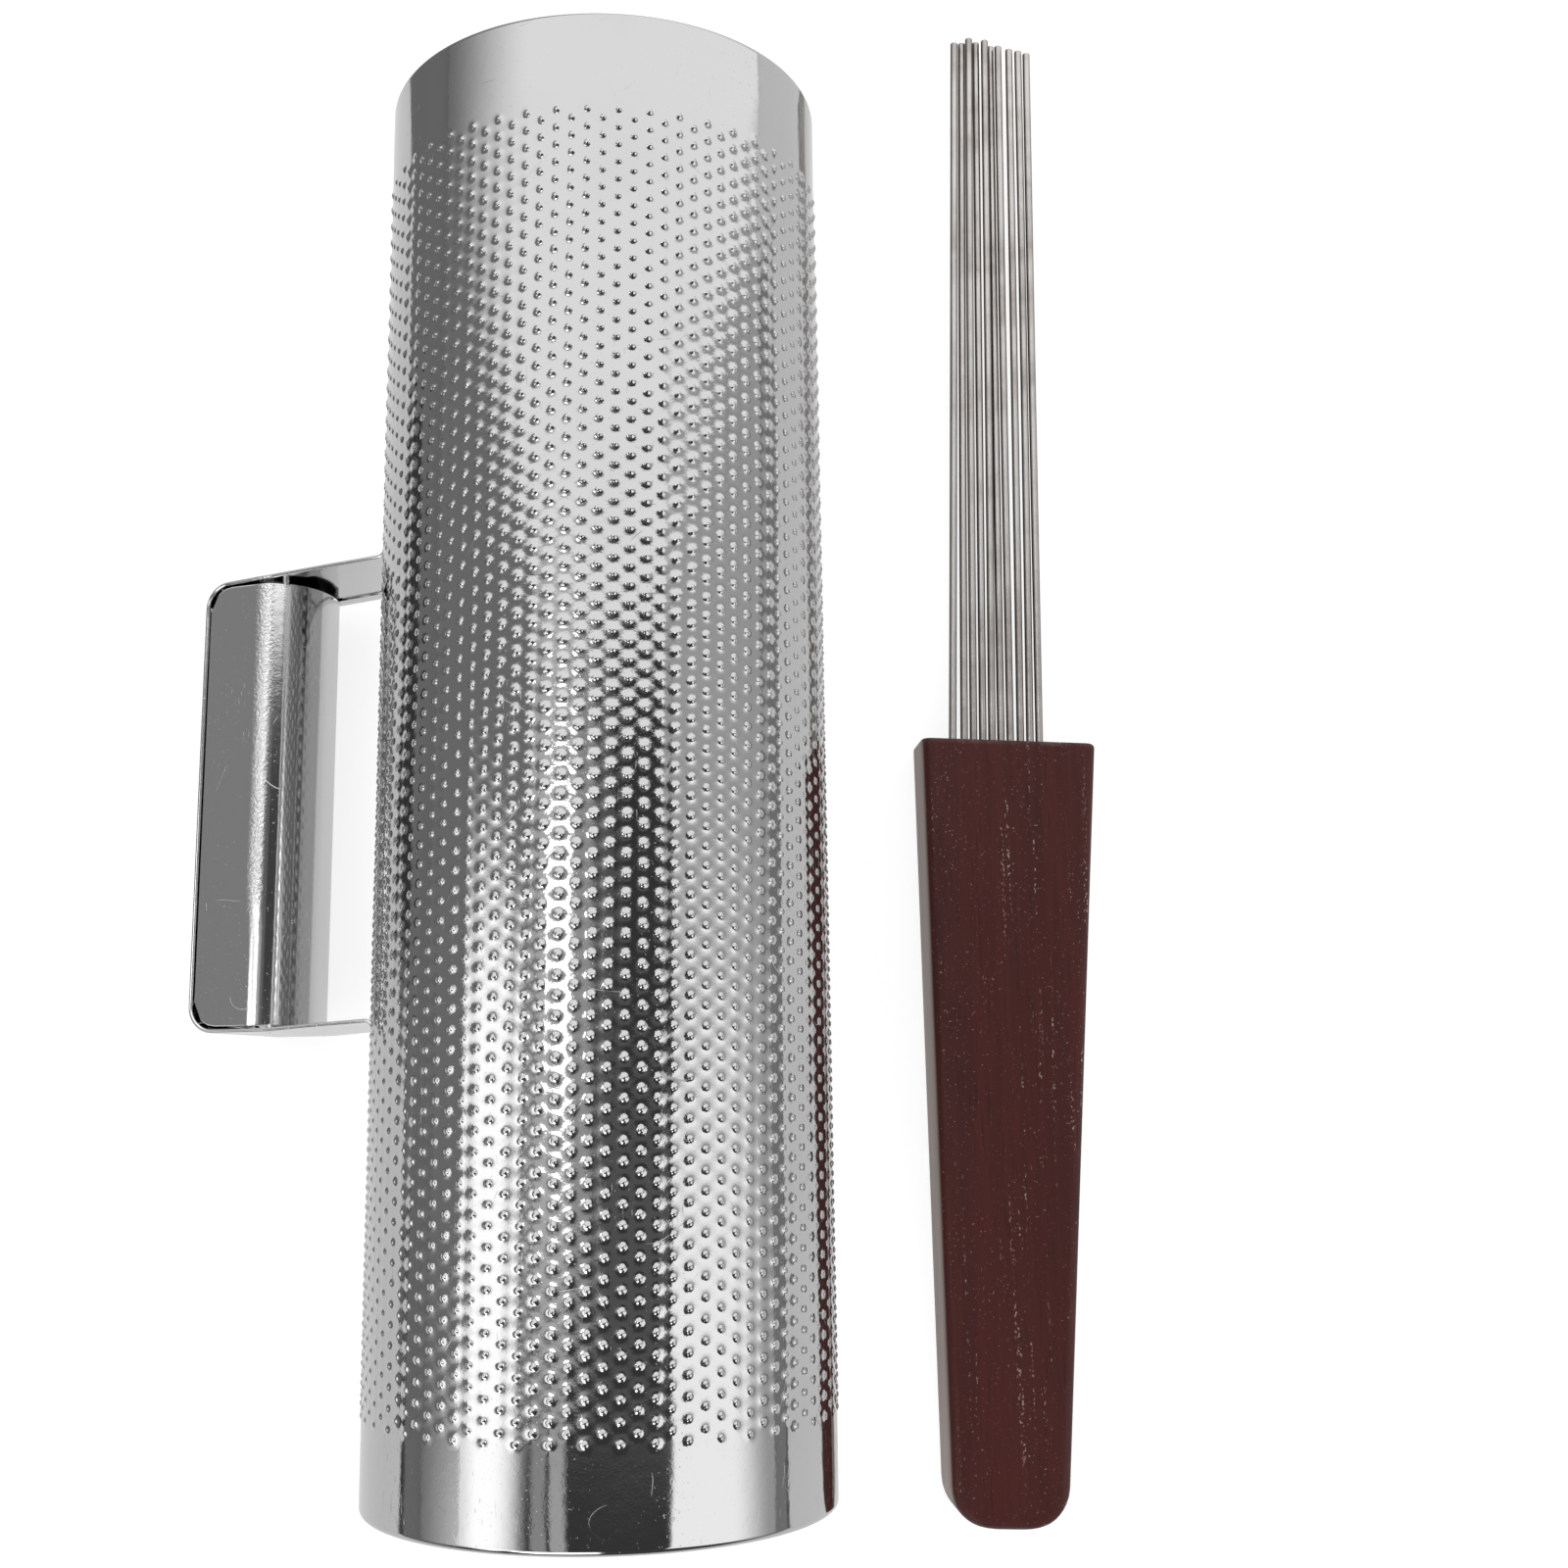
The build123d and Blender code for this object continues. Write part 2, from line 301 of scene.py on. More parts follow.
def skin_points(sixths, half_rings, y, radius, side, bump=(0.0, 0.0, 0.0), normal=(None, 0.0)):
    """Points and normals of the tube's skin. Places are in sixths of a column and half rings, or at a y.
    side is +1 outside and -1 inside; bump is its height and its slopes round and down the tube."""
    angle = COLUMN_TURN + sixths / 6 * 2 * pi / COLUMNS
    angle = angle + COLUMN_DRIFT / TUBE_R * (DRIFT_START - half_rings / 2 / RINGS)
    height, slope_round, slope_down = bump
    n_radial = float(side) if normal[0] is None else normal[0]
    plain = np.abs(n_radial) > 0.99
    wave, wave_along, wave_round = skin_waves(y, angle)
    r = radius + height + wave * plain
    out = np.stack([np.sin(angle), np.zeros_like(angle), np.cos(angle)], -1)
    round_way = np.stack([np.cos(angle), np.zeros_like(angle), -np.sin(angle)], -1)
    along_way = np.array([0.0, 1.0, 0.0])
    points = r[..., None] * out + (y + 0 * angle)[..., None] * along_way + np.array(AXIS_MIDDLE)
    n_radial, n_along = n_radial + 0 * angle, normal[1] + 0 * angle
    slope_r = (slope_round + wave_round * plain) * side
    slope_y = (-slope_down + wave_along * plain) * side
    normals = n_radial[..., None] * out + n_along[..., None] * along_way
    normals = normals - slope_r[..., None] * round_way - slope_y[..., None] * along_way
    normals /= np.linalg.norm(normals, axis=-1, keepdims=True)
    return points.reshape(-1, 3), normals.reshape(-1, 3)


def skin_waves(y, angle):
    """What the sheet's waves add at a place: height, and slopes along +Y and round the tube."""
    total, slope_y, slope_round = (np.zeros(np.broadcast(y, angle).shape) for _ in range(3))
    for size, length, turns, phase in SHEET_WAVES:
        k = 2 * pi / length
        inside = k * y + turns * angle + phase
        total = total + size * np.sin(inside)
        slope_y = slope_y + size * k * np.cos(inside)
        slope_round = slope_round + size * turns / TUBE_R * np.cos(inside)
    return total, slope_y, slope_round


def bump_cells(side, steps):
    """The bumped field, outside or inside: points, normals, triangles, quads and the outline point numbers
    by their place in the lattice."""
    ring, column = np.meshgrid(np.arange(RINGS), np.arange(COLUMNS), indexing="ij")
    bumps = np.stack([ring, column], -1)[(ring + column) % 2 == 0]
    ring, column = bumps[:, :1], bumps[:, 1:]
    count = len(bumps)
    size = 1 - np.abs(random.normal(0, BUMP_SPREAD, (count, 1)))
    shift_round, shift_down = random.normal(0, BUMP_SHIFT, (2, count, 1))
    radius = TUBE_R if side > 0 else TUBE_R - SHEET
    turn = np.arange(CELL_POINTS)[None, :] * 2 * pi / CELL_POINTS
    points, normals, numbers = [], [], []
    total = 0
    for r in (0.0, *steps):
        here = turn if r else turn[:, :1]
        height, slope = bump_profile(np.full(here.shape, float(r)))
        across = r * np.cos(here) + shift_round
        down = r * np.sin(here) + shift_down
        sixths = 6 * (column + across / COLUMN_W)
        half_rings = 2 * (ring + down / RING_STEP)
        bump = (height * size, slope * size * np.cos(here), slope * size * np.sin(here))
        y = FIRST_RING - half_rings / 2 * RING_STEP
        p, n = skin_points(sixths, half_rings, y, radius, side, bump)
        points.append(p)
        normals.append(n)
        numbers.append(total + np.arange(sixths.size).reshape(sixths.shape))
        total += sixths.size
    sixths = (6 * column + CELL[None, :, 0]) % (6 * COLUMNS)
    half_rings = 2 * ring + CELL[None, :, 1]
    keys = (half_rings + 2) * 6 * COLUMNS + sixths
    outline, back = np.unique(keys.ravel(), return_inverse=True)
    sixths, half_rings = outline % (6 * COLUMNS), outline // (6 * COLUMNS) - 2
    y = FIRST_RING - half_rings / 2 * RING_STEP
    p, n = skin_points(sixths, half_rings, y, radius, side)
    points.append(p)
    normals.append(n)
    numbers.append(total + back.reshape(keys.shape))
    first = numbers[1]
    tip = np.broadcast_to(numbers[0], first.shape)
    after = np.roll(first, -1, 1)
    triangles = np.stack([tip, after, first] if side > 0 else [tip, first, after], -1).reshape(-1, 3)
    quads = []
    for near, far in zip(numbers[1:], numbers[2:]):
        near_after, far_after = np.roll(near, -1, 1), np.roll(far, -1, 1)
        order = [near, near_after, far_after, far] if side > 0 else [near, far, far_after, near_after]
        quads.append(np.stack(order, -1).reshape(-1, 4))
    places = {int(key): total + k for k, key in enumerate(outline)}
    return np.concatenate(points), np.concatenate(normals), triangles, np.concatenate(quads), places


def field_edge(places, last):
    """Numbers of the field's outline points beside a plain band, in the order of EDGE_COLUMNS."""
    steps = {-2: -2, 0: -2, 2: -2, 3: -1, 4: 0, 6: 0, 8: 0, 9: -1}
    if last:
        bottom = 2 * (RINGS - 1)
        steps = {-2: 0, 0: 0, 2: 0, 3: 1, 4: 2, 6: 2, 8: 2, 9: 1}
        steps = {sixth: bottom + step for sixth, step in steps.items()}
    numbers = []
    for place in EDGE_COLUMNS:
        half_ring = steps[(place + 2) % 12 - 2]
        numbers.append(places[int((half_ring + 2) * 6 * COLUMNS + place % (6 * COLUMNS))])
    return np.array(numbers)


def rim_rows():
    """Rows of the +Y end from the inside band round the rim to the outside band: y from the middle, radius,
    and the unit normal's two parts (radial, along +Y)."""
    half = TUBE_L / 2
    lip_r = TUBE_R - RIM_R - RIM_LIP
    bend_y, bend_r = half - RIM_R, TUBE_R - RIM_R
    band_y = FIRST_RING + 1.6 * RING_STEP  # clear of the outermost bumps
    rows = [(y, TUBE_R - SHEET, -1, 0) for y in np.linspace(band_y, bend_y, 9)]
    inner = RIM_R - SHEET
    for a in np.linspace(0, pi / 2, 6)[1:]:
        rows.append((bend_y + inner * sin(a), bend_r + inner * cos(a), -cos(a), -sin(a)))
    for a in np.linspace(-pi / 2, pi / 2, 7):
        rows.append((half - SHEET / 2 + SHEET / 2 * sin(a), lip_r - SHEET / 2 * cos(a), -cos(a), sin(a)))
    for a in np.linspace(pi / 2, 0, 11):
        rows.append((bend_y + RIM_R * sin(a), bend_r + RIM_R * cos(a), cos(a), sin(a)))
    rows += [(y, TUBE_R, 1, 0) for y in np.linspace(bend_y, band_y, 17)[1:]]
    return np.array(rows)


def bumped_tube():
    """The tube as one closed skin: two bumped fields, joined by a strip round each rim."""
    outer = bump_cells(1, BUMP_STEPS)
    inner = bump_cells(-1, DENT_STEPS)
    points, normals = [outer[0], inner[0]], [outer[1], inner[1]]
    faces = [outer[2], outer[3], inner[2] + len(outer[0]), inner[3] + len(outer[0])]
    total = len(outer[0]) + len(inner[0])
    rows = rim_rows()
    count = len(EDGE_COLUMNS)
    for end in (1, -1):
        # down the outside is the way of every strip: the -Y end is the +Y end turned over
        y, radius, n_radial, n_along = (rows[::end, k : k + 1] for k in range(4))
        half_rings = 2 * (FIRST_RING - end * y) / RING_STEP
        side = np.where(rows[::end, 2:3] >= 0, 1, -1)
        sixths = EDGE_COLUMNS[None, :] + np.zeros_like(y)
        p, n = skin_points(sixths, half_rings, end * y, radius, side, normal=(n_radial, end * n_along))
        points.append(p)
        normals.append(n)
        strip = total + np.arange(len(rows) * count).reshape(len(rows), count)
        total += strip.size
        inside = field_edge(inner[4], end < 0) + len(outer[0])
        outside = field_edge(outer[4], end < 0)
        strip = np.vstack([inside, strip, outside] if end > 0 else [outside, strip, inside])
        after = np.roll(strip, -1, 1)
        faces.append(np.stack([strip[:-1], strip[1:], after[1:], after[:-1]], -1).reshape(-1, 4))
    return mesh_piece("tube_skin", np.concatenate(points), faces, np.concatenate(normals))


# ---------------------------------------------------------------- the handle

REACH_WAY = np.array([-cos(HANDLE_TILT), 0, -sin(HANDLE_TILT)])
ALONG_WAY = np.array([0.0, 1.0, 0.0])
ACROSS_WAY = np.cross(ALONG_WAY, REACH_WAY)  # across the strap: its + side is the upper one
if ACROSS_WAY[2] < 0:
    ACROSS_WAY = -ACROSS_WAY


def handle_points(reach, along, across):
    """Points of the handle in the frame: reach from the tube's axis, along the tube, across the strap."""
    reach, along, across = np.broadcast_arrays(reach, along, across)
    return (
        np.array(AXIS_MIDDLE)
        + reach[..., None] * REACH_WAY
        + along[..., None] * ALONG_WAY
        + across[..., None] * ACROSS_WAY
    )


def strap_section():
    """The strap's section as (across, offset to its outer side): flat outside, round edges, hems inside."""
    half, thick = STRAP_W / 2, STRAP_T / 2
    turns = np.linspace(0, pi, 13)[1:]
    flat = np.linspace(-half + 2 * thick, half - 2 * thick, 23)
    outer = [(x, thick) for x in (-half + thick, *flat, half - thick)]
    right = [(half - thick * (1 - sin(a)), thick * cos(a)) for a in turns]
    inside = half - HEM_W - HEM_SLOPE
    right += [(half - HEM_W / 2, -thick), (half - HEM_W, -thick), (inside, -thick + HEM_STEP)]
    inner = [(x, -thick + HEM_STEP) for x in np.linspace(inside, -inside, 17)]
    left = [(-x, o) for x, o in right[::-1]]
    return np.array(outer + right + inner[1:-1] + left)


def handle_strap():
    """One bar bent to a C, with its feet turned out along the tube and hollowed to its curve."""
    foot = FIELD_R + STRAP_T / 2
    back = STRAP_REACH - STRAP_T / 2
    corners = [
        (foot, STRAP_TOP_ROOT + FOOT_L),
        (foot, STRAP_TOP_ROOT - STRAP_T / 2),
        (back, STRAP_TOP - STRAP_T / 2),
        (back, STRAP_BOTTOM + STRAP_T / 2),
        (LEG_KNEE, STRAP_BOTTOM + STRAP_T / 2),
        (foot, STRAP_BOTTOM_ROOT + STRAP_T / 2),
        (foot, STRAP_BOTTOM_ROOT - FOOT_L),
    ]
    corner_r = STRAP_CORNER_R - STRAP_T / 2
    radii = (FOOT_BEND_R, corner_r, corner_r, LEG_KNEE_R, FOOT_BEND_R)
    path, normal = rounded_path(corners, radii, spacing=2.5 * MM)
    section = strap_section()
    across, offset = section[None, :, 0], section[None, :, 1]
    # a foot follows the tube: its sides lie closer to the axis' height, along the leg's own plane
    near_tube = np.clip((foot + FOOT_CURVE - path[:, :1]) / FOOT_BLEND, 0, 1)
    drop = (np.sqrt(foot**2 - across**2) - foot) * near_tube
    lean = np.arcsin(across / foot) * near_tube
    reach = path[:, :1] + drop + offset * normal[:, :1] * np.cos(lean)
    along = path[:, 1:] + offset * normal[:, 1:]
    side = across + offset * normal[:, :1] * np.sin(lean)
    return loft("strap_bar", handle_points(reach, along, side), sharp=radians(28))


def grip_shell():
    """A U of sheet that the strap's back closes: lofted round the U, with its ends' corners drawn in."""
    back = STRAP_REACH - STRAP_T - GRIP_BACK
    nose = STRAP_REACH - GRIP_FLAT
    flat = np.concatenate([np.linspace(back, nose + 0.3 * MM, 8), [nose + 0.1 * MM]])
    angles = np.linspace(0, pi, 65)
    a_out, b_out = GRIP_NOSE - GRIP_T / 2, GRIP_W / 2 - GRIP_T / 2
    reach = np.concatenate([flat, nose - a_out * np.sin(angles), flat[::-1]])
    across = np.concatenate([np.full(len(flat), b_out), b_out * np.cos(angles), np.full(len(flat), -b_out)])
    ways = np.gradient(np.stack([reach, across], -1), axis=0)
    normal = np.stack([-ways[:, 1], ways[:, 0]], -1)
    normal /= np.linalg.norm(normal, axis=1, keepdims=True)
    if normal[0, 1] < 0:
        normal = -normal
    corner = np.clip(reach - (back - GRIP_CORNER_R), 0, GRIP_CORNER_R)
    pull = GRIP_CORNER_R - np.sqrt(GRIP_CORNER_R**2 - corner**2)
    low, high = GRIP_BOTTOM + pull, GRIP_TOP - pull
    edge = 0.2 * MM
    half = GRIP_T / 2
    rounding = [(edge * (1 - sin(a)), half - edge * (1 - cos(a))) for a in (0, pi / 6, pi / 3, pi / 2)]
    loops = []
    for s, w, n, y0, y1 in zip(reach, across, normal, low, high):
        rows = np.concatenate([[y0 + edge], np.linspace(y0 + 2 * edge, y1 - 2 * edge, 24), [y1 - edge]])
        ring = [(y, half) for y in rows]
        ring += [(y1 - d, o) for d, o in rounding[1:]]
        ring += [(y1 - d, -o) for d, o in rounding[:0:-1]]
        ring += [(y, -half) for y in rows[::-1]]
        ring += [(y0 + d, -o) for d, o in rounding[1:]]
        ring += [(y0 + d, o) for d, o in rounding[:0:-1]]
        ring = np.array(ring)
        loops.append(handle_points(s + ring[:, 1] * n[0], ring[:, 0], w + ring[:, 1] * n[1]))
    return loft("grip_skin", np.array(loops), sharp=radians(40))


def weld_bead(name, middle, length):
    """A small uneven bead of weld metal, long in the tube's direction."""
    side = np.cross(ALONG_WAY, [0.3, 0.1, 1.0])
    side /= np.linalg.norm(side)
    up = np.cross(ALONG_WAY, side)
    loops = []
    for t in np.linspace(-1, 1, 11):
        r = WELD_R * sqrt(max(1 - t * t, 0.02)) * (1 + 0.12 * random.uniform(-1, 1))
        around = np.linspace(0, 2 * pi, 15)[:-1]
        ring = middle + ALONG_WAY * t * length / 2
        loops.append(ring + r * (np.cos(around)[:, None] * side + np.sin(around)[:, None] * up))
    return loft(name, np.array(loops), sharp=None)


def tack_welds():
    """Four beads: between each end of the shell and the leg beside it, near both side edges."""
    nose = STRAP_REACH - GRIP_FLAT
    across = GRIP_W / 2 * sqrt(1 - ((nose - WELD_REACH) / GRIP_NOSE) ** 2) - GRIP_T / 2
    share = (STRAP_REACH - WELD_REACH) / (STRAP_REACH - FIELD_R)
    top_leg = STRAP_TOP + (STRAP_TOP_ROOT - STRAP_TOP) * share - STRAP_T + HEM_STEP
    bottom_leg = STRAP_BOTTOM + STRAP_T - HEM_STEP
    beads = []
    for end, (low, high) in enumerate(((GRIP_TOP, top_leg), (bottom_leg, GRIP_BOTTOM))):
        for side in (1, -1):
            middle = handle_points(WELD_REACH, (low + high) / 2, side * across)
            beads.append(weld_bead(f"weld_{end}_{side}", middle, high - low + 2 * WELD_SUNK))
    return join("weld_beads", beads)


def join(name, pieces):
    """Joins pieces into one object."""
    bpy.ops.object.select_all(action="DESELECT")
    for piece in pieces:
        piece.select_set(True)
    bpy.context.view_layer.objects.active = pieces[0]
    bpy.ops.object.join()
    pieces[0].name = name
    pieces[0].data.name = name
    return pieces[0]


# ---------------------------------------------------------------- the scraper

wood_low, wood_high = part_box("scraper_handle")
turn_c, turn_s = cos(SCRAPER_TURN), sin(SCRAPER_TURN)
ACROSS_WOOD = np.array([turn_c, -turn_s, 0.0])
ALONG_WOOD = np.array([turn_s, turn_c, 0.0])
# the mouth's +X corner is the frame's most +X point, and its -X corner the most +Y one
MOUTH_MIDDLE = np.array(
    [
        wood_high.x - WOOD_MOUTH_W / 2 * turn_c + WOOD_MOUTH_R * (turn_c - 1 + turn_s),
        wood_high.y - WOOD_MOUTH_W / 2 * turn_s,
        0.0,
    ]
)


def scraper_points(across, along, up):
    """Points of the scraper in the frame: across its handle, along it from the mouth, up from the table."""
    across, along, up = np.broadcast_arrays(across, along, up)
    return (
        MOUTH_MIDDLE
        + across[..., None] * ACROSS_WOOD
        + along[..., None] * ALONG_WOOD
        + up[..., None] * np.array([0.0, 0.0, 1.0])
    )


def shrink(distance, radius):
    """How far a rounded edge draws a side in, at a distance from the end face."""
    inside = np.clip(radius - distance, 0, radius)
    return radius - sqrt(radius**2 - inside**2)


def slot_outline():
    """The slot's outline in the mouth, about its own middle."""
    return rounded_rectangle((SLOT_RIGHT - SLOT_LEFT) / 2, SLOT_T / 2, SLOT_CORNER_R)


def wooden_handle():
    """The tapered handle, lofted from its butt to its mouth and on down into the slot."""
    # stations from the butt, and before the mouth, in mm: close together where the ends are rounded
    butt = [0, 0.06, 0.25, 0.55, 0.95, 1.45, 2.0, 2.6, 3.4, 4.4, 5.6, 7.2, 9.0]
    mouth = [0, 0.04, 0.15, 0.35, 0.65, 1.0, 1.6]
    body = np.linspace(12, WOOD_L / MM - 4, 44)
    stations = [d * MM for d in (*butt, *body)] + [WOOD_L - d * MM for d in mouth[::-1]]
    loops = []
    for d in stations:
        half_w = (WOOD_BUTT_W + (WOOD_MOUTH_W - WOOD_BUTT_W) * d / WOOD_L) / 2
        to_mouth = WOOD_L - d
        half_w -= shrink(d, WOOD_BUTT_R) + shrink(to_mouth, WOOD_MOUTH_R)
        half_h = WOOD_T / 2 - shrink(d, WOOD_EDGE_R) - shrink(to_mouth, WOOD_MOUTH_R)
        edge_r = max(WOOD_EDGE_R - shrink(to_mouth, WOOD_MOUTH_R), 1.2 * MM)
        outline = rounded_rectangle(half_w, half_h, edge_r)
        loops.append(scraper_points(outline[:, 0], d - WOOD_L, outline[:, 1] + WOOD_T / 2))
    slot = slot_outline()
    for depth, size in ((0.0, 1.01), (0.15 * MM, 1.0), (SLOT_DEPTH, 1.0)):
        loops.append(scraper_points(slot[:, 0] * size + SLOT_MIDDLE, -depth, slot[:, 1] * size + WOOD_T / 2))
    return loft("wood_handle", np.array(loops), sharp=radians(42))


def slot_glue():
    """Dark glue that fills the slot round the wires, sunk a little below the mouth."""
    slot = slot_outline()
    loops = []
    # from the slot's bottom up to its rim, and in over the top
    levels = ((SLOT_DEPTH / MM - 0.5, 0.99), (2.0, 0.99), (0.9, 0.99), (1.3, 0.9), (1.5, 0.5))
    for depth, size in levels:
        place = scraper_points(slot[:, 0] * size + SLOT_MIDDLE, -depth * MM, slot[:, 1] * size + WOOD_T / 2)
        loops.append(place)
    return loft("slot_glue", np.array(loops), sharp=None)


def wire(node, number):
    """One wire along its CAD node, faintly bowed, with a softened tip."""
    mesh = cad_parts[node].data
    places = np.array([v.co for v in mesh.vertices], float)
    along = (places - MOUTH_MIDDLE) @ ALONG_WOOD
    root = places[along < along.min() + 0.2 * MM].mean(0)
    tip = places[along > along.max() - 0.2 * MM].mean(0)
    length = np.linalg.norm(tip - root)
    way = (tip - root) / length
    side = ACROSS_WOOD - way * (ACROSS_WOOD @ way)
    side /= np.linalg.norm(side)
    up = np.cross(side, way)
    bow = random.uniform(-WIRE_BOW, WIRE_BOW)
    lift = random.uniform(-WIRE_LIFT, WIRE_LIFT)
    ends = [0, 0.08 * MM, 0.2 * MM, 0.4 * MM]
    stations = ends + list(np.linspace(2 * MM, length - 2 * MM, 48)) + [length - d for d in ends[::-1]]
    around = np.linspace(0, 2 * pi, 17)[:-1]
    loops = []
    for t in stations:
        radius = WIRE_R - shrink(length - t, WIRE_TIP_R) - shrink(t, WIRE_ROOT_R)
        free = max(t - WIRE_SUNK, 0) / (length - WIRE_SUNK)
        sway = sin(pi * free) * (bow * side + lift * up)
        ring = root + way * t + sway
        loops.append(ring + radius * (np.cos(around)[:, None] * side + np.sin(around)[:, None] * up))
    return loft(f"wire_rod_{number:02d}", np.array(loops), sharp=radians(50))


# ---------------------------------------------------------------- materials

MOTTLE_H = 0.012 * MM  # the faint mottle of all the bright sheet


class NodeTree:
    """Short names for building nodes. An input takes a socket or a plain value."""

    def __init__(self, tree):
        self.tree = tree

    def feed(self, socket, value):
        if isinstance(value, bpy.types.NodeSocket):
            self.tree.links.new(value, socket)
        else:
            socket.default_value = value

    def math(self, operation, *values):
        node = self.tree.nodes.new("ShaderNodeMath")
        node.operation = operation
        for socket, value in zip(node.inputs, values):
            self.feed(socket, value)
        return node.outputs["Value"]

    def vector_math(self, operation, a, b, result="Vector"):
        node = self.tree.nodes.new("ShaderNodeVectorMath")
        node.operation = operation
        self.feed(node.inputs[0], a)
        self.feed(node.inputs[1], b)
        return node.outputs[result]

    def ramp(self, value, low, high, to_low=0.0, to_high=1.0):
        """A smooth step from one value to the other."""
        node = self.tree.nodes.new("ShaderNodeMapRange")
        node.interpolation_type = "SMOOTHSTEP"
        for name, number in zip(("From Min", "From Max", "To Min", "To Max"), (low, high, to_low, to_high)):
            node.inputs[name].default_value = number
        self.feed(node.inputs["Value"], value)
        return node.outputs["Result"]

    def mix(self, share, a, b, kind="RGBA"):
        """A blend of two colours or, with the kind FLOAT, of two numbers."""
        node = self.tree.nodes.new("ShaderNodeMix")
        node.data_type = kind
        self.feed(node.inputs["Factor"], share)
        socket_type = "VALUE" if kind == "FLOAT" else kind
        sockets = {s.name: s for s in node.inputs if s.name in "AB" and s.type == socket_type}
        for name, value in (("A", a), ("B", b)):
            self.feed(sockets[name], (*value, 1) if isinstance(value, tuple) else value)
        return next(s for s in node.outputs if s.type == socket_type)

    def split(self, vector):
        node = self.tree.nodes.new("ShaderNodeSeparateXYZ")
        self.feed(node.inputs["Vector"], vector)
        return node.outputs


class Nodes(NodeTree):
    """A new material's nodes, with what its surface is made from."""

    def __init__(self, name):
        self.material = bpy.data.materials.new(name)
        self.material.use_nodes = True
        super().__init__(self.material.node_tree)
        self.shader = self.tree.nodes["Principled BSDF"]
        self.place = self.tree.nodes.new("ShaderNodeTexCoord").outputs["Object"]

    def set(self, **values):
        for name, value in values.items():
            self.shader.inputs[name.replace("_", " ")].default_value = value

    def link(self, output, socket):
        self.tree.links.new(output, self.shader.inputs[socket])

    def mapped(self, scale, turn=(0, 0, 0)):
        node = self.tree.nodes.new("ShaderNodeMapping")
        node.inputs["Scale"].default_value = scale
        node.inputs["Rotation"].default_value = turn
        self.feed(node.inputs["Vector"], self.place)
        return node.outputs["Vector"]

    def noise(self, scale, vector=None, detail=2.0, roughness=0.5, distortion=0.0):
        node = self.tree.nodes.new("ShaderNodeTexNoise")
        node.inputs["Scale"].default_value = scale
        node.inputs["Detail"].default_value = detail
        node.inputs["Roughness"].default_value = roughness
        node.inputs["Distortion"].default_value = distortion
        self.feed(node.inputs["Vector"], vector or self.place)
        return node.outputs["Fac"]

    def bump(self, height, distance, strength=1.0):
        node = self.tree.nodes.new("ShaderNodeBump")
        node.inputs["Strength"].default_value = strength
        node.inputs["Distance"].default_value = distance
        self.feed(node.inputs["Height"], height)
        self.link(node.outputs["Normal"], "Normal")

    def along(self, way):
        """The place's distance from the middle of the tube's axis, along one way."""
        from_middle = self.vector_math("SUBTRACT", self.place, AXIS_MIDDLE)
        return self.vector_math("DOT_PRODUCT", from_middle, way, "Value")

    def facing(self, way):
        """How far the surface faces one way, from -1 to 1."""
        normal = self.tree.nodes.new("ShaderNodeNewGeometry").outputs["Normal"]
        return self.vector_math("DOT_PRODUCT", normal, way, "Value")

    def edge_wear(self, radius):
        """1 on edges and corners and 0 on flat faces: how far the normal rounded over the radius turns."""
        bevel = self.tree.nodes.new("ShaderNodeBevel")
        bevel.samples = 6
        bevel.inputs["Radius"].default_value = radius
        return self.ramp(self.facing(bevel.outputs["Normal"]), 0.93, 0.995, 1.0, 0.0)


def hair_lines(n, scale, width, distortion):
    """Thin curving lines where a noise crosses its middle, kept only in scattered places."""
    noise = n.noise(scale, detail=0.0, distortion=distortion)
    near = n.math("ABSOLUTE", n.math("SUBTRACT", noise, 0.5))
    line = n.ramp(near, 0.0, width, 1.0, 0.0)
    scattered = n.ramp(n.noise(scale * 2.3, detail=1.0), 0.56, 0.66)
    return n.math("MULTIPLY", line, scattered)


def polished_steel(name, tone, shine, where, rough_h):
    """Bright rolled sheet: hairline scratches, rubbed patches, specks, and a faint mottle. where gives the
    places that pressing or bending has left rough, and rough_h how rough."""
    n = Nodes(name)
    n.set(Metallic=1.0)
    smudge = n.ramp(n.noise(45, detail=4.0, roughness=0.6), 0.45, 0.75)
    scratch = hair_lines(n, scale=55, width=0.004, distortion=0.6)
    scuffs = n.ramp(n.noise(2600, n.mapped((1, 0.12, 1), (0, 0, 0.5))), 0.66, 0.72)
    worn = n.math("MULTIPLY", scuffs, n.ramp(n.noise(60, detail=1.0), 0.55, 0.7))
    specks = n.ramp(n.noise(1900, detail=1.0), 0.7, 0.76)
    marks = n.math("MAXIMUM", n.math("MAXIMUM", scratch, worn), n.math("MULTIPLY", specks, 0.6))
    n.link(n.mix(n.math("MULTIPLY", smudge, 0.35), (tone,) * 3, (tone * 0.93,) * 3), "Base Color")
    rough = n.math("MULTIPLY_ADD", smudge, 0.05, shine)
    n.link(n.math("MULTIPLY_ADD", marks, 0.3, rough), "Roughness")
    rubbed = n.ramp(n.noise(75, detail=3.0, roughness=0.6), 0.42, 0.62, 0.2, 1.0)
    mottle = n.math("MULTIPLY", n.noise(2300), rubbed)
    height = n.math("MULTIPLY_ADD", mottle, 0.7, n.noise(420, detail=1.0))
    height = n.math("MULTIPLY_ADD", marks, -0.8, height)
    skin = n.noise(1500, detail=3.0, roughness=0.6)
    height = n.math("MULTIPLY_ADD", n.math("MULTIPLY", skin, where(n)), rough_h / MOTTLE_H, height)
    n.bump(height, MOTTLE_H)
    return n.material


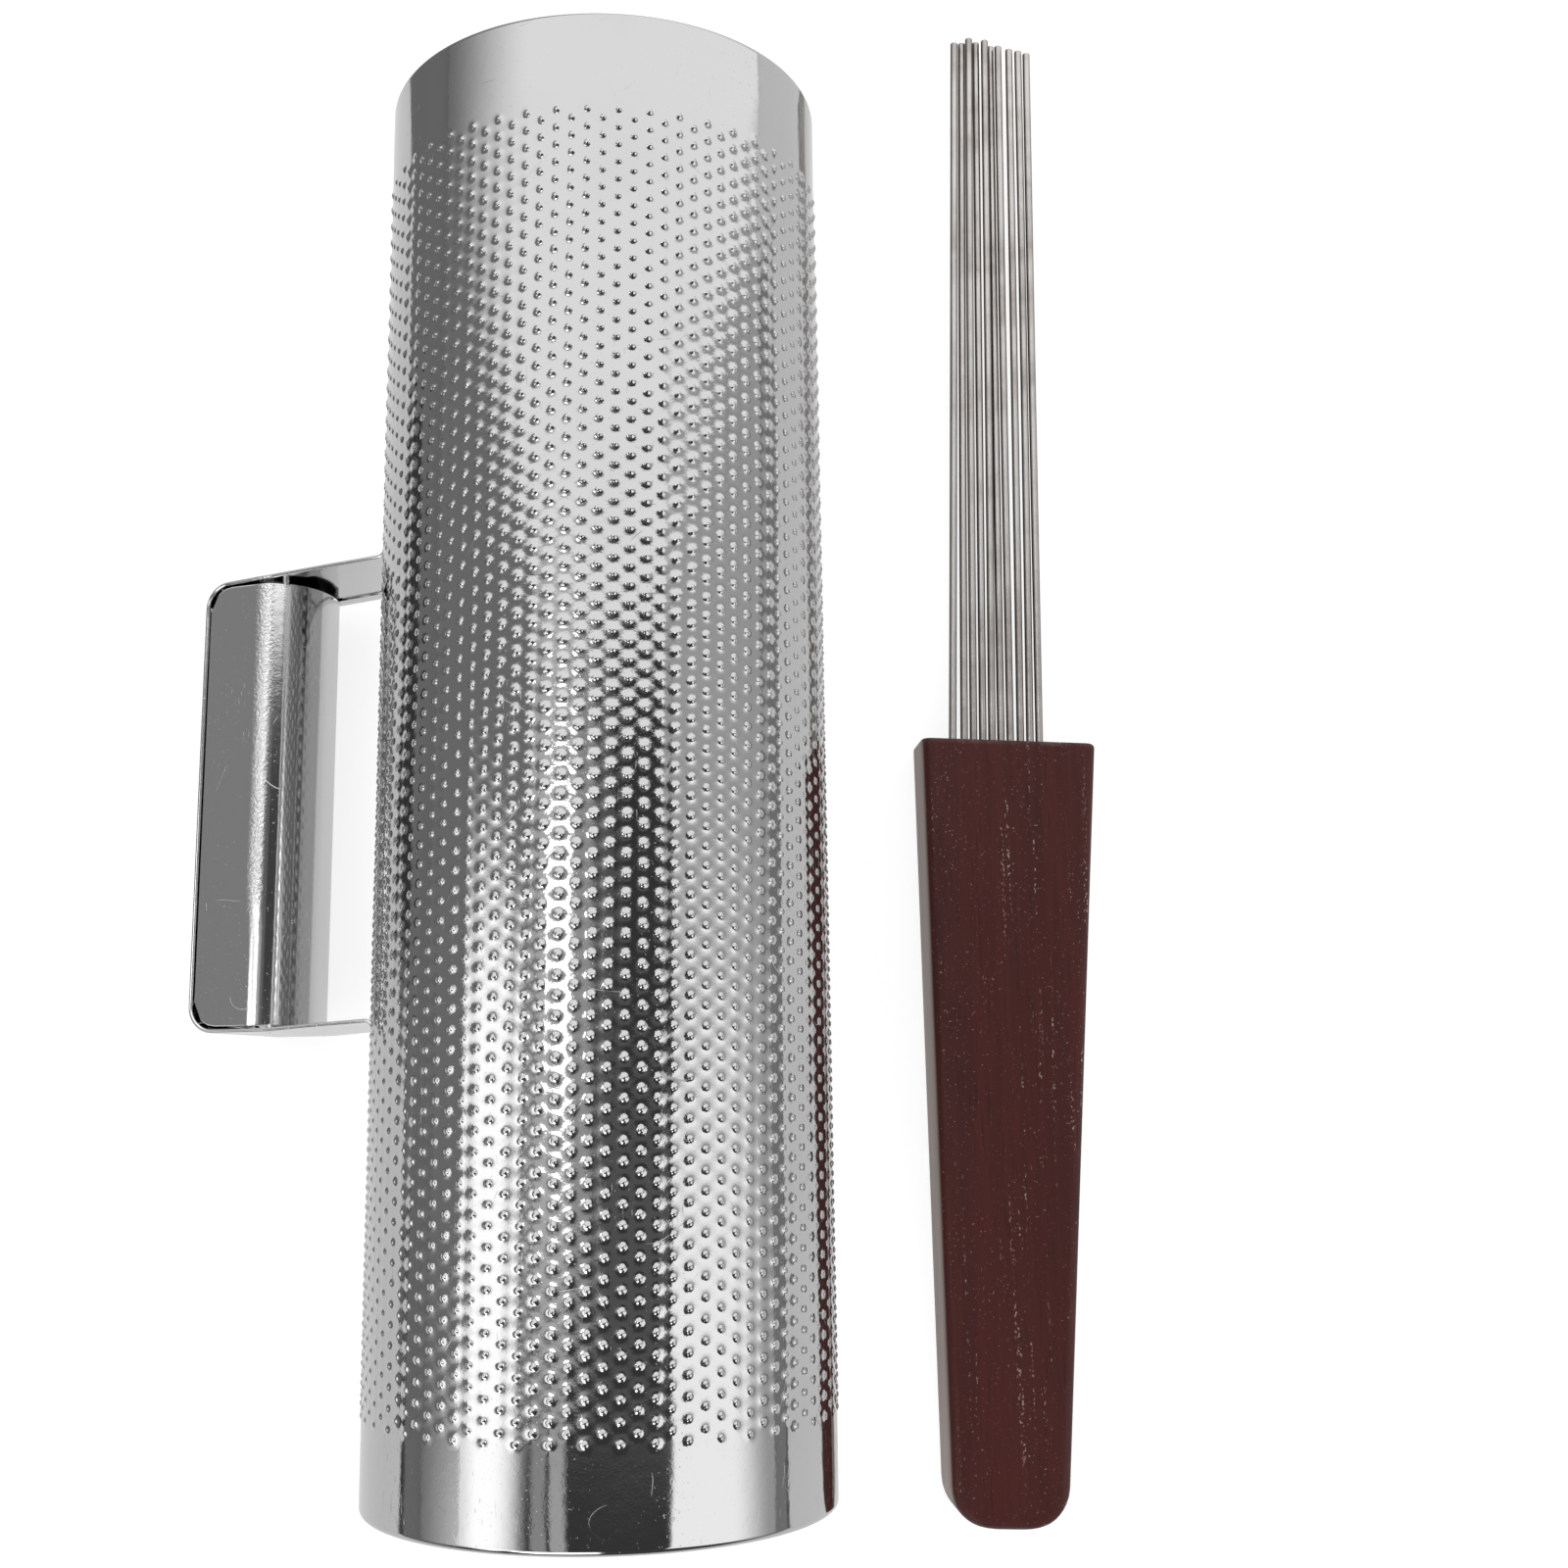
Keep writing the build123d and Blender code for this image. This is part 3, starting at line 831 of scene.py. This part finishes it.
def pressed_field(n):
    """1 where the tube is pressed into bumps, 0 on the plain bands."""
    from_middle = n.math("ABSOLUTE", n.along(ALONG_WAY))
    return n.ramp(from_middle, FIRST_RING - 1.0 * MM, FIRST_RING + 2.0 * MM, 1.0, 0.0)


def grip_bend(n):
    """1 on the line where the grip's flat side turns into its nose, 0 a little away from it. The bend is
    rough along its upper part only."""
    bend = STRAP_REACH - GRIP_FLAT - 0.8 * MM
    from_bend = n.math("ABSOLUTE", n.math("SUBTRACT", n.along(REACH_WAY), bend))
    upper = n.ramp(n.along(ALONG_WAY), GRIP_BOTTOM + 16 * MM, GRIP_BOTTOM + 34 * MM, 0.04, 1.0)
    return n.math("MULTIPLY", upper, n.ramp(from_bend, 0.4 * MM, 2.8 * MM, 1.0, 0.0))


def weld_metal():
    n = Nodes("weld_metal")
    n.set(Metallic=1.0)
    tint = n.noise(700)
    n.link(n.mix(tint, (0.62, 0.6, 0.58), (0.8, 0.78, 0.76)), "Base Color")
    n.link(n.ramp(n.noise(1500), 0.3, 0.7, 0.2, 0.45), "Roughness")
    n.bump(n.noise(900, detail=3.0), 0.1 * MM, 0.6)
    return n.material


def wire_steel():
    n = Nodes("wire_steel")
    n.set(Metallic=1.0)
    drawn = n.noise(260, n.mapped((6, 0.15, 6)), detail=3.0, roughness=0.6)
    stain = n.ramp(n.noise(38, detail=4.0, roughness=0.65), 0.42, 0.7)
    clean = (0.56, 0.535, 0.515)
    dull = (0.3, 0.265, 0.24)
    # painted shade: each wire's sides, where it faces its neighbours, are darkened nearly to black
    painted_side_shade = n.ramp(n.math("ABSOLUTE", n.facing((0, 0, 1))), 0.35, 0.97, 0.95, 0.0)
    colour = n.mix(n.math("MULTIPLY", stain, 0.75), clean, dull)
    n.link(n.mix(painted_side_shade, colour, (0.035, 0.025, 0.021)), "Base Color")
    rough = n.ramp(drawn, 0.3, 0.7, 0.24, 0.38)
    n.link(n.math("MULTIPLY_ADD", stain, 0.1, rough), "Roughness")
    n.bump(drawn, 0.03 * MM, 0.5)
    return n.material


def stained_wood():
    n = Nodes("stained_wood")

    def grain(length):
        """Places squeezed across the grain, so that a noise on them runs along it."""
        return n.mapped((1, length, 1), (0, 0, SCRAPER_TURN))

    streaks = n.noise(420, grain(0.045), detail=4.0, roughness=0.62, distortion=0.4)
    broad = n.noise(60, grain(0.2))
    pores = n.ramp(n.noise(1300, grain(0.06), detail=1.0), 0.6, 0.7)
    colour = n.mix(n.ramp(streaks, 0.35, 0.68), (0.039, 0.0082, 0.0069), (0.052, 0.0112, 0.0092))
    colour = n.mix(n.ramp(broad, 0.35, 0.7, 0.0, 0.35), colour, (0.06, 0.014, 0.0115))
    colour = n.mix(n.math("MULTIPLY", pores, 0.5), colour, (0.026, 0.006, 0.005))
    # pale dust in the pores: fine specks, and short dotted streaks along the grain in some places
    specks = n.ramp(n.noise(2100, detail=1.0), 0.7, 0.75)
    dots = n.ramp(n.noise(2400, grain(0.5), detail=1.0), 0.6, 0.68)
    lines = n.ramp(n.noise(900, grain(0.02), detail=1.0), 0.62, 0.68)
    dusty = n.mapped((1.6, 0.4, 1), (0, 0, SCRAPER_TURN))
    dusty = n.ramp(n.noise(60, dusty), 0.4, 0.6, 0.25, 1.0)
    dust = n.math("MAXIMUM", n.math("MULTIPLY", specks, 0.55), n.math("MULTIPLY", dots, lines))
    colour = n.mix(n.math("MULTIPLY", dust, dusty), colour, (0.3, 0.24, 0.22))
    # rubbed edges, told by how far the normal rounded over a small radius turns
    rubbed = n.edge_wear(1.6 * MM)
    patchy = n.ramp(n.noise(420, grain(0.25), detail=4.0, roughness=0.75), 0.36, 0.62)
    rubbed = n.math("MULTIPLY", n.math("MULTIPLY", rubbed, patchy), 0.8)
    colour = n.mix(rubbed, colour, (0.22, 0.165, 0.145))
    # the side towards the tube is painted paler: a painted highlight along that side
    painted_side_highlight = n.ramp(n.facing(-ACROSS_WOOD), 0.75, 0.98, 0.0, 0.75)
    colour = n.mix(painted_side_highlight, colour, (0.3, 0.245, 0.22))
    n.link(colour, "Base Color")
    n.link(n.ramp(streaks, 0.3, 0.7, 0.52, 0.4), "Roughness")
    n.bump(n.math("MULTIPLY_ADD", pores, -0.6, streaks), 0.06 * MM, 0.5)
    n.set(Specular_IOR_Level=0.2)
    return n.material


def glue():
    n = Nodes("dark_glue")
    tint = n.noise(600, detail=3.0)
    n.link(n.mix(tint, (0.02, 0.014, 0.01), (0.06, 0.04, 0.025)), "Base Color")
    n.link(n.ramp(tint, 0.3, 0.7, 0.25, 0.5), "Roughness")
    n.bump(tint, 0.1 * MM, 0.5)
    return n.material


def dress(piece, material, body, slot, *nodes):
    """Gives a piece its material, the CAD nodes it stands for and the body it rides. Its slot's name is not
    used.
    """
    piece.data.materials.clear()
    piece.data.materials.append(material)
    if nodes:
        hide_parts(*nodes)
    if body:
        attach(piece, body)


steel = polished_steel("polished_steel", tone=0.52, shine=0.05, where=pressed_field, rough_h=0.016 * MM)
grip_steel = polished_steel("grip_steel", tone=0.74, shine=0.09, where=grip_bend, rough_h=0.26 * MM)
dress(bumped_tube(), steel, "guiro", "polished_steel", "body_tube")
dress(handle_strap(), grip_steel, "guiro", "polished_steel", "handle_strap")
dress(grip_shell(), grip_steel, "guiro", "polished_steel", "grip_shell")
dress(tack_welds(), weld_metal(), "guiro", "weld_bead", "tack_welds")
dress(wooden_handle(), stained_wood(), "scraper", "stained_wood", "scraper_handle")
dress(slot_glue(), glue(), "scraper", None)

rod_steel = wire_steel()
flex_start, flex_end = (tuple(scraper_points(0.0, d, WOOD_T / 2)) for d in (FLEX_START, FLEX_END))
wire_nodes = sorted(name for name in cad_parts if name.startswith("wire_"))
for number, node in enumerate(wire_nodes, 1):
    rod = wire(node, number)
    dress(rod, rod_steel, None, "wire_steel", node)
    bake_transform(rod)

# ---------------------------------------------------------------- the studio

FLOOR_SIZE = 12.0
FLOOR_GLOW = 0.78
FLOOR_DROP = 0.2 * MM
SHEET_STEP = 0.02 * MM
BACKDROP = 1.0
SKY_BASE = 0.25
SOFTBOX_LOW = (-0.2215, 0.165)  # the softbox's lower edge and its upper edge, x and z
SOFTBOX_HIGH = (-0.303, 0.509)
SOFTBOX_ENDS = (-0.42, 0.03)
SOFTBOX_FADE = (-0.07, 0.025)  # along Y it fades out from here to here
SOFTBOX_DIM_H = 0.05  # over this height it is dimmer at its lower edge, down to this share
SOFTBOX_DIM = 0.65
SOFTBOX_FULL_Z = 0.26  # and from here up it fades out
SOFTBOX_GLOW = 1.9
LAMP_HEIGHT = 1.8
LAMP_SIZE = 2.4
LAMP_POWER = 14.0
CAMERA_FROM_TUBE = Vector((6.25, -72.09, 403.83)) * MM  # from the middle of the tube's axis
CAMERA_TURN = (11.1169, -2.4684, -0.4727)  # degrees about X, Y and Z
CAMERA_LENS = 43.56
CAMERA_SHIFT = (0.0439, -0.0317)


def glowing(name, tones, glow, **values):
    """A matt grey that varies faintly between two tones, and glows white."""
    n = Nodes(name)
    n.set(Emission_Color=(1, 1, 1, 1), Emission_Strength=glow, **values)
    dark, light = ((tone,) * 3 for tone in tones)
    n.link(n.mix(n.noise(3.0), dark, light), "Base Color")
    return n


def square(half):
    return ((-half, -half), (half, -half), (half, half), (-half, half))


def studio_floor():
    """A white table lit from below, as well as by the studio: its shadows stay faint."""
    floor = mesh_piece("studio_floor", [(x, y, 0.0) for x, y in square(FLOOR_SIZE / 2)], [(0, 1, 2, 3)])
    floor.data.materials.append(glowing("pale_floor", (0.3, 0.315), FLOOR_GLOW, Roughness=0.9).material)
    floor.location.z = -FLOOR_DROP


class Sky(NodeTree):
    """The studio round the object as seen in its reflections. A direction is given by its turn from
    straight up towards +X (side) and its lean towards +Y (lean), both in degrees."""

    def __init__(self, brightness):
        world = bpy.data.worlds.new("studio")
        bpy.context.scene.world = world
        world.use_nodes = True
        super().__init__(world.node_tree)
        x, y, z = self.split(self.tree.nodes.new("ShaderNodeTexCoord").outputs["Generated"])
        self.side = self.math("MULTIPLY", self.math("ARCTAN2", x, z), 180 / pi)
        self.lean = self.math("MULTIPLY", self.math("ARCSINE", y), 180 / pi)
        self.brightness = brightness

    def within(self, value, limits, softness):
        """1 between the limits and 0 outside them, each edge soft by so much."""
        (low, high), (soft_low, soft_high) = limits, softness
        rise = self.ramp(value, low - soft_low / 2, low + soft_low / 2)
        fall = self.ramp(value, high - soft_high / 2, high + soft_high / 2, 1.0, 0.0)
        return self.math("MULTIPLY", rise, fall)

    def panel(self, side, lean, brightness, soft_side=(3, 3), soft_lean=(3, 3), knee=0.0, slope=0.0):
        """Lays a panel over what is there: its side range and its lean range, each edge soft by so much.
        slope raises the lean range by that much per degree of side past the knee."""
        lean_here = self.lean
        if slope:
            past = self.math("MAXIMUM", self.math("SUBTRACT", self.math("ABSOLUTE", self.side), knee), 0.0)
            lean_here = self.math("SUBTRACT", lean_here, self.math("MULTIPLY", past, slope))
        on_side = self.within(self.side, side, soft_side)
        mask = self.math("MULTIPLY", on_side, self.within(lean_here, lean, soft_lean))
        self.brightness = self.mix(mask, self.brightness, brightness, "FLOAT")

    def done(self, backdrop):
        """The steel is lit by the panels and mirrors them; past the floor's edge the backdrop is plain."""
        seen = self.tree.nodes.new("ShaderNodeLightPath").outputs["Is Camera Ray"]
        shown = self.mix(seen, self.brightness, backdrop, "FLOAT")
        self.feed(self.tree.nodes["Background"].inputs["Color"], shown)


def studio_sky():
    sky = Sky(SKY_BASE)
    # the dark floor past the -Y end, a pale wall low on the right, and the bright ceiling over the +Y end
    sky.panel((-200, 200), (-95, -36), 0.07, soft_lean=(2, 10))
    sky.panel((70, 180), (-34, 95), 0.52, soft_side=(40, 2), soft_lean=(10, 2))
    sky.panel((-65, 200), (14, 100), 1.32, soft_side=(56, 10), soft_lean=(4, 4), knee=25, slope=0.22)
    # the softbox on the right, its halo first, and the wall lit by the one on the left
    sky.panel((33, 84), (-34, 20), 0.56, soft_side=(3, 24), soft_lean=(8, 8))
    sky.panel((33, 76), (-34, 2), 1.55, soft_side=(3, 24), soft_lean=(6, 20))
    sky.panel((-74, -56), (-34, -8), 1.15, soft_side=(46, 4), soft_lean=(6, 8))
    # the dark camera stand overhead, with its darkest parts
    sky.panel((-33, 33), (-40, 12), 0.14, soft_side=(2, 3), soft_lean=(4, 4))
    sky.panel((8, 33), (1, 12), 0.055, soft_side=(6, 3), soft_lean=(5, 4))
    sky.panel((-33, 33), (-40, -9), 0.06, soft_side=(2, 3), soft_lean=(4, 5))
    # light that comes past the stand on its left, and a bare lamp in it
    sky.panel((-33, -15), (-8, 16), 0.7, soft_side=(3, 4), soft_lean=(6, 6))
    sky.panel((-15, -3), (-6, 12), 0.5, soft_side=(3, 10), soft_lean=(6, 8))
    sky.panel((-31, -24), (-34, -8), 0.42, soft_side=(3, 2), soft_lean=(6, 5))
    sky.panel((-22, -15), (-34, -8), 0.6, soft_side=(2, 3), soft_lean=(6, 5))
    sky.panel((-24, -15), (0, 9), 6.0, soft_side=(3, 4), soft_lean=(3, 3))
    # a lamp past the -Y end
    sky.panel((-50, 0), (-66, -36), 3.2, soft_side=(6, 6), soft_lean=(6, 4))
    sky.done(BACKDROP)


def reflected_sheet(name, depth, corners, tone, glow=0.0):
    """A flat sheet on the table, so many steps below its top, that is seen only in reflections."""
    sheet = mesh_piece(name, [(x, y, 0.0) for x, y in corners], [tuple(range(len(corners)))])
    sheet.data.materials.append(glowing(name, (tone, tone * 1.1), glow, Roughness=0.9).material)
    sheet.location.z = -depth * SHEET_STEP
    sheet.visible_camera = False
    sheet.visible_diffuse = False
    sheet.visible_shadow = False


def reflected_table():
    """What the steel mirrors below the horizon: the pale table, the dark floor past its left and right
    edges, and painted shadow along the table's edges: near-black sheets in place of the shade there."""
    far = FLOOR_SIZE / 2
    left = [(-far, -far), (-0.3, -far), (-0.3, -0.11), (-0.17, -0.05), (-0.185, 0.12), (-0.13, 0.2)]
    left += [(-0.1, far), (-far, far)]
    left_shadow_line = [(-0.37, -far), (-0.3, -far), (-0.3, -0.11), (-0.37, -0.13)]
    reflected_sheet("table_top", 4, square(far), 0.25, glow=0.52)
    reflected_sheet("dark_left", 3, left, 0.16)
    reflected_sheet("dark_right", 3, [(0.45, -far), (far, -far), (far, 2.7), (0.45, 0.31)], 0.2)
    # painted shadow: near-black sheets along the table's edges, in place of the shade there
    reflected_sheet("left_edge_shadow", 2, [(-0.185, -0.03), (-0.19, 0.12), (-0.32, 0.15), (-0.28, -0.06)], 0.02)
    reflected_sheet("left_shadow_line", 2, left_shadow_line, 0.02)
    reflected_sheet("right_shadow_line", 2, [(0.45, -far), (0.64, -far), (0.52, 0.12), (0.45, 0.12)], 0.02)


def left_softbox():
    """A tall softbox close on the left, fading out at its +Y end: it stands near enough for the handle to
    see less of it than the tube does."""
    (low_x, low_z), (high_x, high_z) = SOFTBOX_LOW, SOFTBOX_HIGH
    corners = [(low_x, y, low_z) for y in SOFTBOX_ENDS] + [(high_x, y, high_z) for y in SOFTBOX_ENDS[::-1]]
    box = mesh_piece("left_softbox", corners, [(0, 1, 2, 3)])
    n = glowing("softbox_cloth", (0.01, 0.012), 0.0, Roughness=1.0, Specular_IOR_Level=0.0)
    _, y, z = n.split(n.place)
    glow = n.ramp(y, *SOFTBOX_FADE, SOFTBOX_GLOW - SKY_BASE, 0.0)
    glow = n.math("MULTIPLY", glow, n.ramp(z, low_z, low_z + SOFTBOX_DIM_H, SOFTBOX_DIM, 1.0))
    glow = n.math("MULTIPLY", glow, n.ramp(z, SOFTBOX_FULL_Z, high_z, 1.0, 0.0))
    n.link(n.math("ADD", glow, SKY_BASE), "Emission Strength")
    box.data.materials.append(n.material)
    box.visible_camera = False
    box.visible_shadow = False


def overhead_lamp():
    """A large soft lamp that lights the floor and the wood, and doesn't show in the steel."""
    light = bpy.data.lights.new("overhead", "AREA")
    light.size = LAMP_SIZE
    light.energy = LAMP_POWER
    lamp = bpy.data.objects.new("overhead", light)
    lamp.location.z = LAMP_HEIGHT
    lamp.visible_glossy = False
    bpy.context.scene.collection.objects.link(lamp)


def studio_camera():
    camera = bpy.data.cameras.new("camera")
    camera.lens = CAMERA_LENS
    camera.sensor_width = 36
    camera.shift_x, camera.shift_y = CAMERA_SHIFT
    camera.clip_start = 0.01
    camera_object = bpy.data.objects.new("camera", camera)
    camera_object.location = AXIS_MIDDLE + CAMERA_FROM_TUBE
    camera_object.rotation_euler = [radians(turn) for turn in CAMERA_TURN]
    bpy.context.scene.collection.objects.link(camera_object)
    bpy.context.scene.camera = camera_object


studio_floor()
studio_sky()
left_softbox()
reflected_table()
overhead_lamp()
studio_camera()
bpy.context.scene.view_settings.view_transform = "Standard"

# ---------------------------------------------------------------- the end

bpy.context.view_layer.update()
